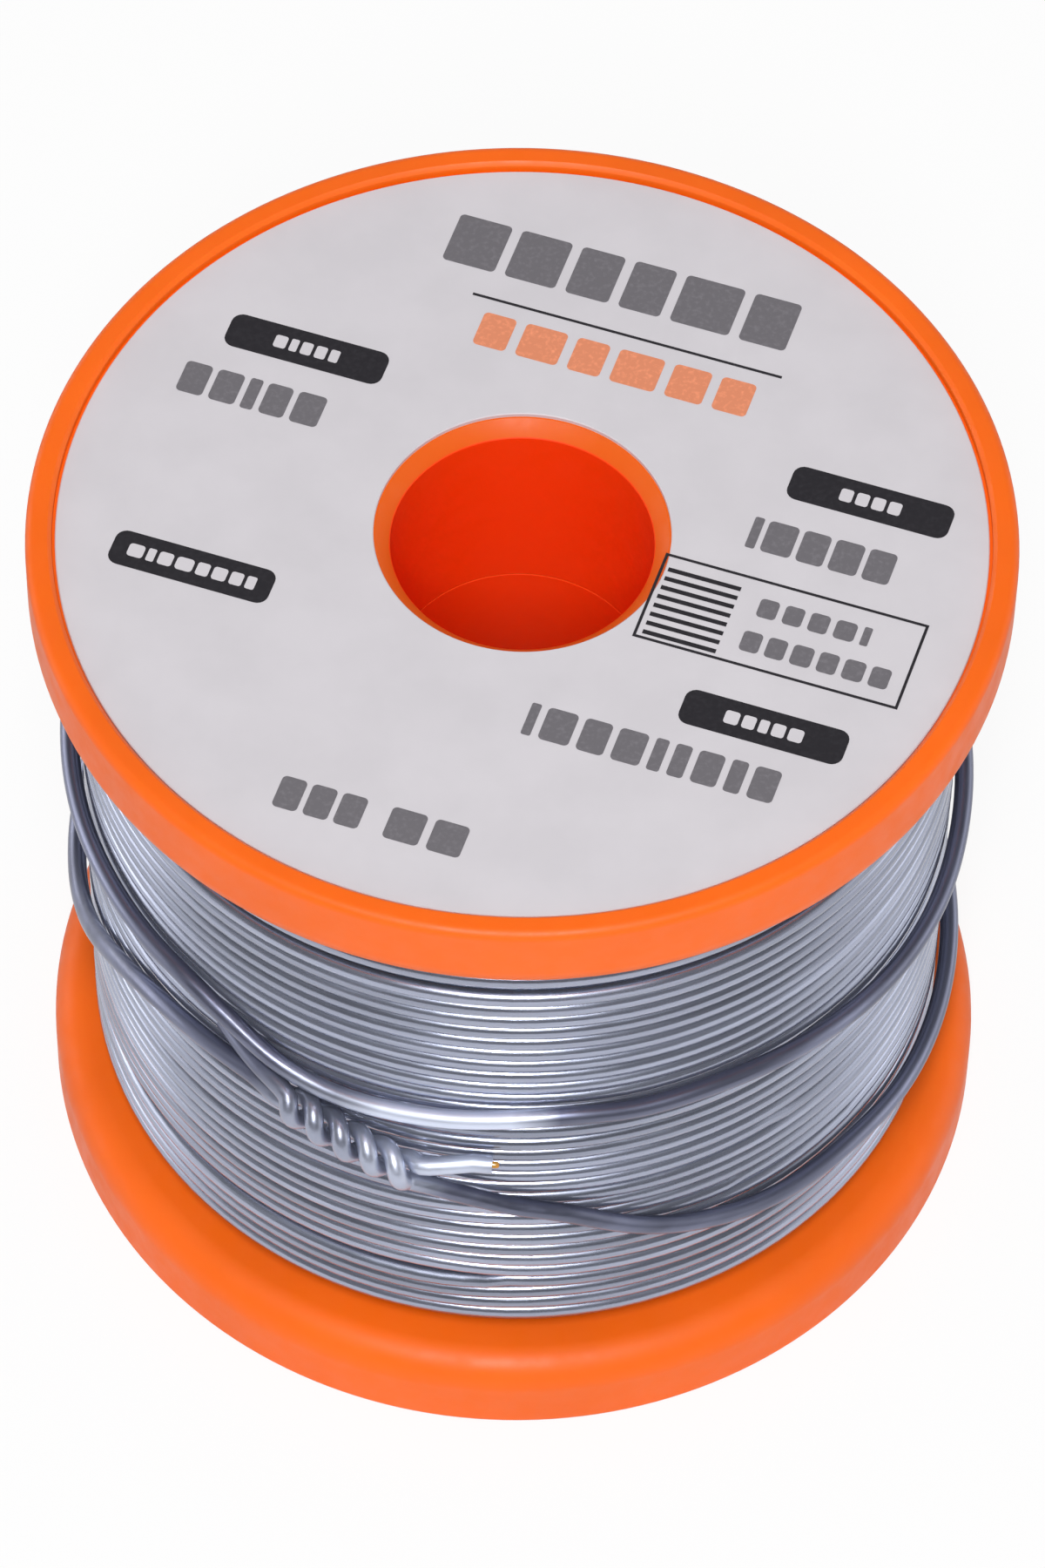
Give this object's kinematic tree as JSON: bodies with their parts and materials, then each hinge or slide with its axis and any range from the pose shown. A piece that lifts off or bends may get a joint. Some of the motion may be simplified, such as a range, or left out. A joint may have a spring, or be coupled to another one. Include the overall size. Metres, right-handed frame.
{
  "type": "solder wire spool",
  "caption": "Moulded two-flange spool with a central spindle bore, a label disc, and a winding of solder wire whose last turns lie slack.",
  "frame": {"origin": "middle of the lower face, on the bore axis, in the plane the spool stands on", "axes": "+Z along the bore axis towards the labelled flange; -Y towards the front, where the twisted free end lies to the left"},
  "size_m": [0.06, 0.06, 0.055],
  "materials": {
    "spool_plastic": "smooth injection-moulded plastic, satin gloss",
    "label_card": "coated card, dull sheen",
    "solder": "bright drawn tin-lead wire",
    "flux": "amber rosin flux"
  },
  "bodies": {
    "root": {"lower_half": "spool_plastic", "upper_half": "spool_plastic", "label": "label_card", "winding_core": "solder", "winding_outer_layer": "solder", "slack_turn_upper": "solder", "slack_turn_lower": "solder", "free_end": "solder", "flux_core": "flux", "wire_start": "solder"}
  },
  "joints": []
}
